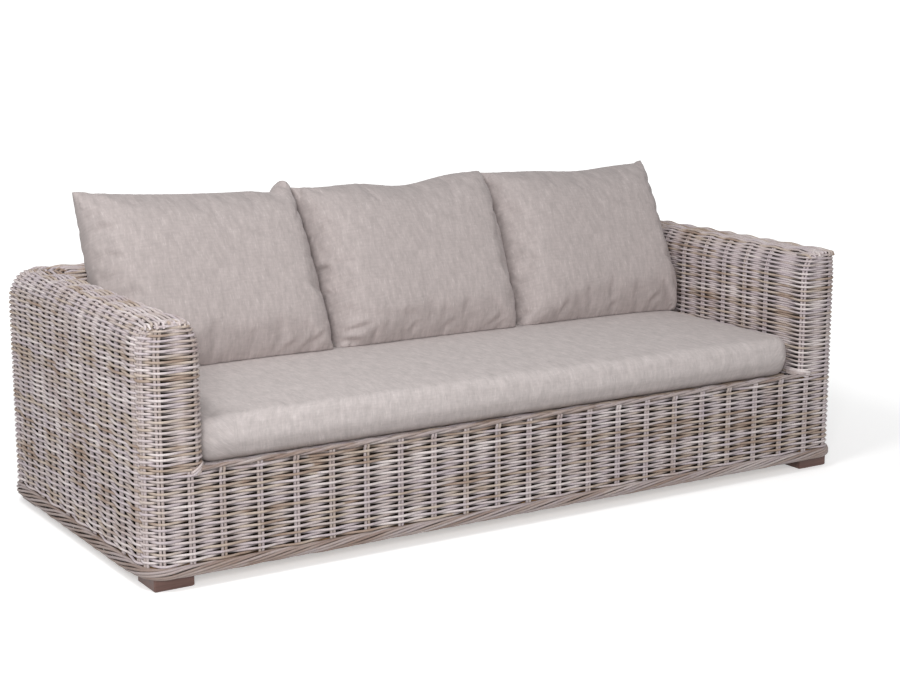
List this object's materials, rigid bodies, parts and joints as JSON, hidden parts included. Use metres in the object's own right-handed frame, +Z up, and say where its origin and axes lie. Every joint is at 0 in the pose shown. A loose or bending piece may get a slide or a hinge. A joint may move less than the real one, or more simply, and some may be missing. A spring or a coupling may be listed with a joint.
{
  "type": "rattan garden sofa",
  "caption": "Long garden sofa of woven grey rattan with arms as high as its back, a low woven skirt, block feet and loose seat and back cushions.",
  "frame": {"origin": "middle of the sofa's footprint on the floor", "axes": "+X along the sofa to the sitter's left when seated, +Y to the back, +Z up"},
  "size_m": [2.308, 1.036, 0.9054],
  "materials": {
    "rattan": "grey-washed kubu strands",
    "border": "grey-washed plaited kubu",
    "frame_wood": "planed hardwood",
    "foot_wood": "dark stained satin",
    "linen": "matt slub weave",
    "steel": "zinc plated"
  },
  "bodies": {
    "sofa_frame": {"foot_front_left": "foot_wood", "foot_bolt_front_left": "steel", "foot_front_right": "foot_wood", "foot_bolt_front_right": "steel", "foot_back_left": "foot_wood", "foot_bolt_back_left": "steel", "foot_back_right": "foot_wood", "foot_bolt_back_right": "steel", "base_rail_front": "frame_wood", "base_rail_back": "frame_wood", "base_rail_left": "frame_wood", "base_rail_right": "frame_wood", "base_centre_bearer": "frame_wood", "arm_front_board_left": "frame_wood", "arm_rear_board_left": "frame_wood", "arm_middle_board_left": "frame_wood", "arm_top_rail_left": "frame_wood", "arm_front_board_right": "frame_wood", "arm_rear_board_right": "frame_wood", "arm_middle_board_right": "frame_wood", "arm_top_rail_right": "frame_wood", "back_rib_left": "frame_wood", "back_rib_right": "frame_wood", "back_top_rail": "frame_wood", "seat_rail_front": "frame_wood", "seat_rail_back": "frame_wood", "seat_rail_left": "frame_wood", "seat_rail_right": "frame_wood", "apron_post_left": "frame_wood", "apron_post_centre": "frame_wood", "apron_post_right": "frame_wood", "seat_slat_1": "frame_wood", "seat_slat_2": "frame_wood", "seat_slat_3": "frame_wood", "seat_slat_4": "frame_wood", "seat_slat_5": "frame_wood", "seat_slat_6": "frame_wood", "seat_slat_7": "frame_wood", "seat_slat_8": "frame_wood", "seat_slat_9": "frame_wood", "seat_deck_weave": "rattan", "arm_weave_left": "rattan", "arm_weave_right": "rattan", "back_weave": "rattan", "apron_weave": "rattan", "apron_border": "border", "base_border_front": "border", "base_border_back": "border", "base_border_left": "border", "base_border_right": "border"},
    "seat_cushion": {"seat_cushion": "linen"},
    "back_cushion_left": {"back_cushion_left": "linen"},
    "back_cushion_middle": {"back_cushion_middle": "linen"},
    "back_cushion_right": {"back_cushion_right": "linen"}
  },
  "joints": [
    {"name": "seat_cushion_lift", "type": "slide", "parent": "sofa_frame", "child": "seat_cushion", "axis": [0, 0, 1], "range_m": [0, 0.42]},
    {"name": "back_cushion_left_lift", "type": "slide", "parent": "seat_cushion", "child": "back_cushion_left", "axis": [0, 0, 1], "range_m": [0, 0.3]},
    {"name": "back_cushion_middle_lift", "type": "slide", "parent": "seat_cushion", "child": "back_cushion_middle", "axis": [0, 0, 1], "range_m": [0, 0.3]},
    {"name": "back_cushion_right_lift", "type": "slide", "parent": "seat_cushion", "child": "back_cushion_right", "axis": [0, 0, 1], "range_m": [0, 0.3]}
  ]
}
